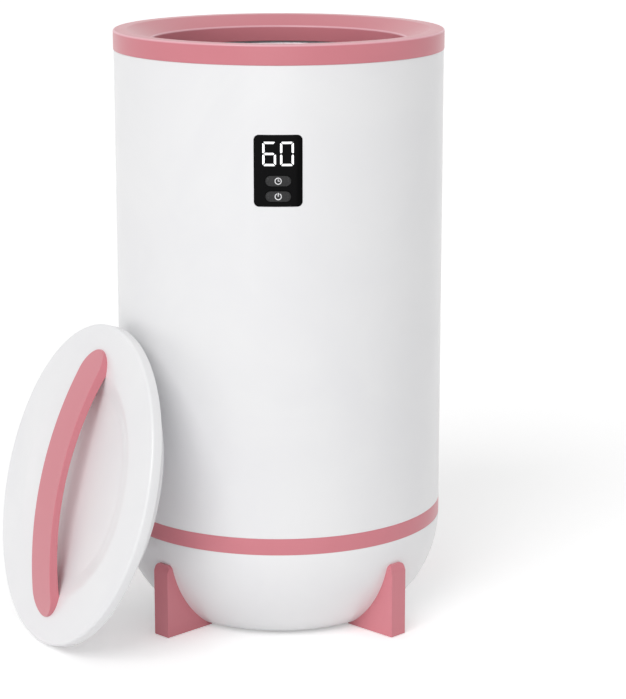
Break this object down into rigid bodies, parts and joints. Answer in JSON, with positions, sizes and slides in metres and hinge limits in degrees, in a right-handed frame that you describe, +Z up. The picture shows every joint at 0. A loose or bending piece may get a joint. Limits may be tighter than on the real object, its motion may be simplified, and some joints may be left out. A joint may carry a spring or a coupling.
{
  "type": "towel warmer bucket",
  "caption": "Tall round heated bucket for warming towels, with rim ring, control panel, fin feet and a handled plug lid leaning beside it.",
  "frame": {"origin": "on the floor, under the bucket's axis, at the centre of the feet's circle", "axes": "+Z up along the bucket's axis; the control panel faces -Y; the lid leans at the front left, towards -X and -Y"},
  "size_m": [0.4127, 0.3902, 0.542],
  "materials": {
    "shell_white": "satin",
    "rim_pink": "satin",
    "liner_metal": "satin",
    "silicone_grey": "matte",
    "heater_orange": "satin",
    "felt_grey": "matte",
    "chassis_grey": "matte",
    "screw_steel": "satin",
    "pad_rubber": "matte",
    "gland_black": "matte",
    "board_green": "satin",
    "part_black": "matte",
    "part_blue": "satin",
    "terminal_green": "matte",
    "lead_red": "satin",
    "cable_black": "satin",
    "clip_white": "matte",
    "panel_black": "gloss",
    "button_grey": "satin",
    "display_white": "satin",
    "thermostat_black": "satin",
    "foam_white": "matte"
  },
  "bodies": {
    "bucket": {"outer_shell": "shell_white", "rim_ring": "rim_pink", "rim_screws": "screw_steel", "inner_liner": "liner_metal", "liner_gasket": "silicone_grey", "heater_film": "heater_orange", "heater_base_pad": "heater_orange", "heater_terminal": "part_black", "insulation_jacket": "felt_grey", "insulation_base": "felt_grey", "thermostat": "thermostat_black", "thermostat_bracket": "screw_steel", "thermal_fuse": "liner_metal", "fuse_cushion": "silicone_grey", "accent_band": "rim_pink", "chassis_plate": "chassis_grey", "chassis_screws": "screw_steel", "lower_bowl": "shell_white", "base_screws": "screw_steel", "foot_screws": "screw_steel", "cord_gland": "gland_black", "gland_nut": "part_black", "power_board": "board_green", "board_screws": "screw_steel", "transformer": "part_black", "relay": "part_blue", "capacitors": "part_blue", "terminal_block": "terminal_green", "sensor_leads": "lead_red", "heater_leads": "lead_red", "display_cable": "cable_black", "cable_plugs": "clip_white", "cable_clips": "clip_white", "panel_window": "panel_black", "digit_segments": "display_white", "digit_module": "part_black", "panel_holder": "chassis_grey", "display_board": "board_green", "display_screws": "screw_steel", "button_switches": "part_black", "foot_rear_right": "rim_pink", "foot_rear_left": "rim_pink", "foot_front_left": "rim_pink", "foot_front_right": "rim_pink", "foot_pad_rear_right": "pad_rubber", "foot_pad_rear_left": "pad_rubber", "foot_pad_front_left": "pad_rubber", "foot_pad_front_right": "pad_rubber"},
    "lid": {"lid_cover": "shell_white", "lid_plug": "shell_white", "lid_insulation": "foam_white", "lid_seal": "silicone_grey", "lid_screws": "screw_steel", "handle": "rim_pink", "handle_screws": "screw_steel"},
    "timer_button": {"timer_button": "button_grey", "timer_icon": "display_white"},
    "power_button": {"power_button": "button_grey", "power_icon": "display_white"}
  },
  "joints": [
    {"name": "lid_lift", "type": "slide", "parent": "bucket", "child": "lid", "axis": [0, 0, 1], "range_m": [0, 0.45]},
    {"name": "timer_press", "type": "slide", "parent": "bucket", "child": "timer_button", "axis": [0, 1, 0], "range_m": [0, 0.0006], "stiffness_N_per_m": 400, "springref_m": -0.001},
    {"name": "power_press", "type": "slide", "parent": "bucket", "child": "power_button", "axis": [0, 1, 0], "range_m": [0, 0.0006], "stiffness_N_per_m": 400, "springref_m": -0.001}
  ]
}
